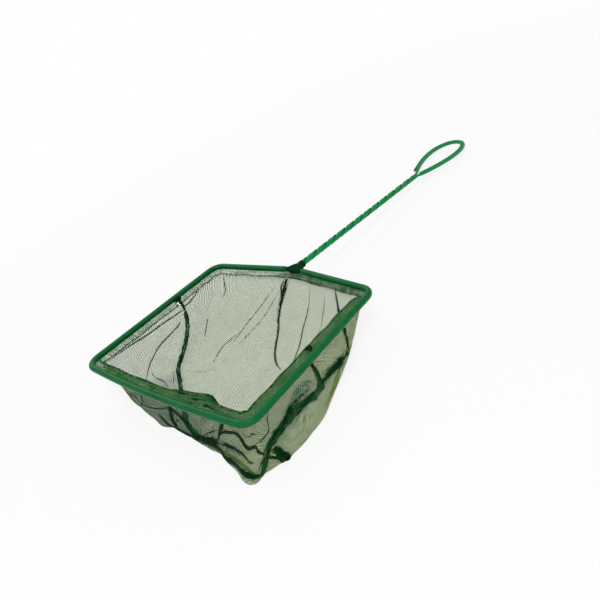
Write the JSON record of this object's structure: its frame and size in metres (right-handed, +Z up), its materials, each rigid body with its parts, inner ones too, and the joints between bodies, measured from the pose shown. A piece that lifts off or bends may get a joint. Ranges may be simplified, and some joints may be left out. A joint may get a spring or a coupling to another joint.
{
  "type": "aquarium fish net",
  "caption": "Hand net for an aquarium: a coated wire rim with a split guard tube, a soft green mesh bag, a twisted wire handle and a hanging loop.",
  "frame": {"origin": "on the surface that the net lies on, under the middle of the whole net's box", "axes": "+Y along the handle towards the hanging loop, +X across the rim to the right seen from the front edge, +Z up"},
  "size_m": [0.1641, 0.4212, 0.0323],
  "materials": {
    "steel": "drawn wire, seen only at its cut ends",
    "green_plastic": "glossy green coating",
    "green_tube": "glossy darker green tube",
    "hem_net": "folded netting, several layers",
    "bag_net": "fine knitted netting, see-through",
    "seam_net": "rolled netting, sewn",
    "thread": "sewing thread and cord"
  },
  "bodies": {
    "root": {"steel_wire": "steel", "wire_coating": "green_plastic", "rim_guard": "green_tube", "front_hem": "hem_net", "back_hem": "hem_net", "hem_thread": "thread", "front_panel": "bag_net", "back_panel": "bag_net", "bag_seam": "seam_net", "left_tie": "thread", "right_tie": "thread", "root_binding": "thread"}
  },
  "joints": []
}
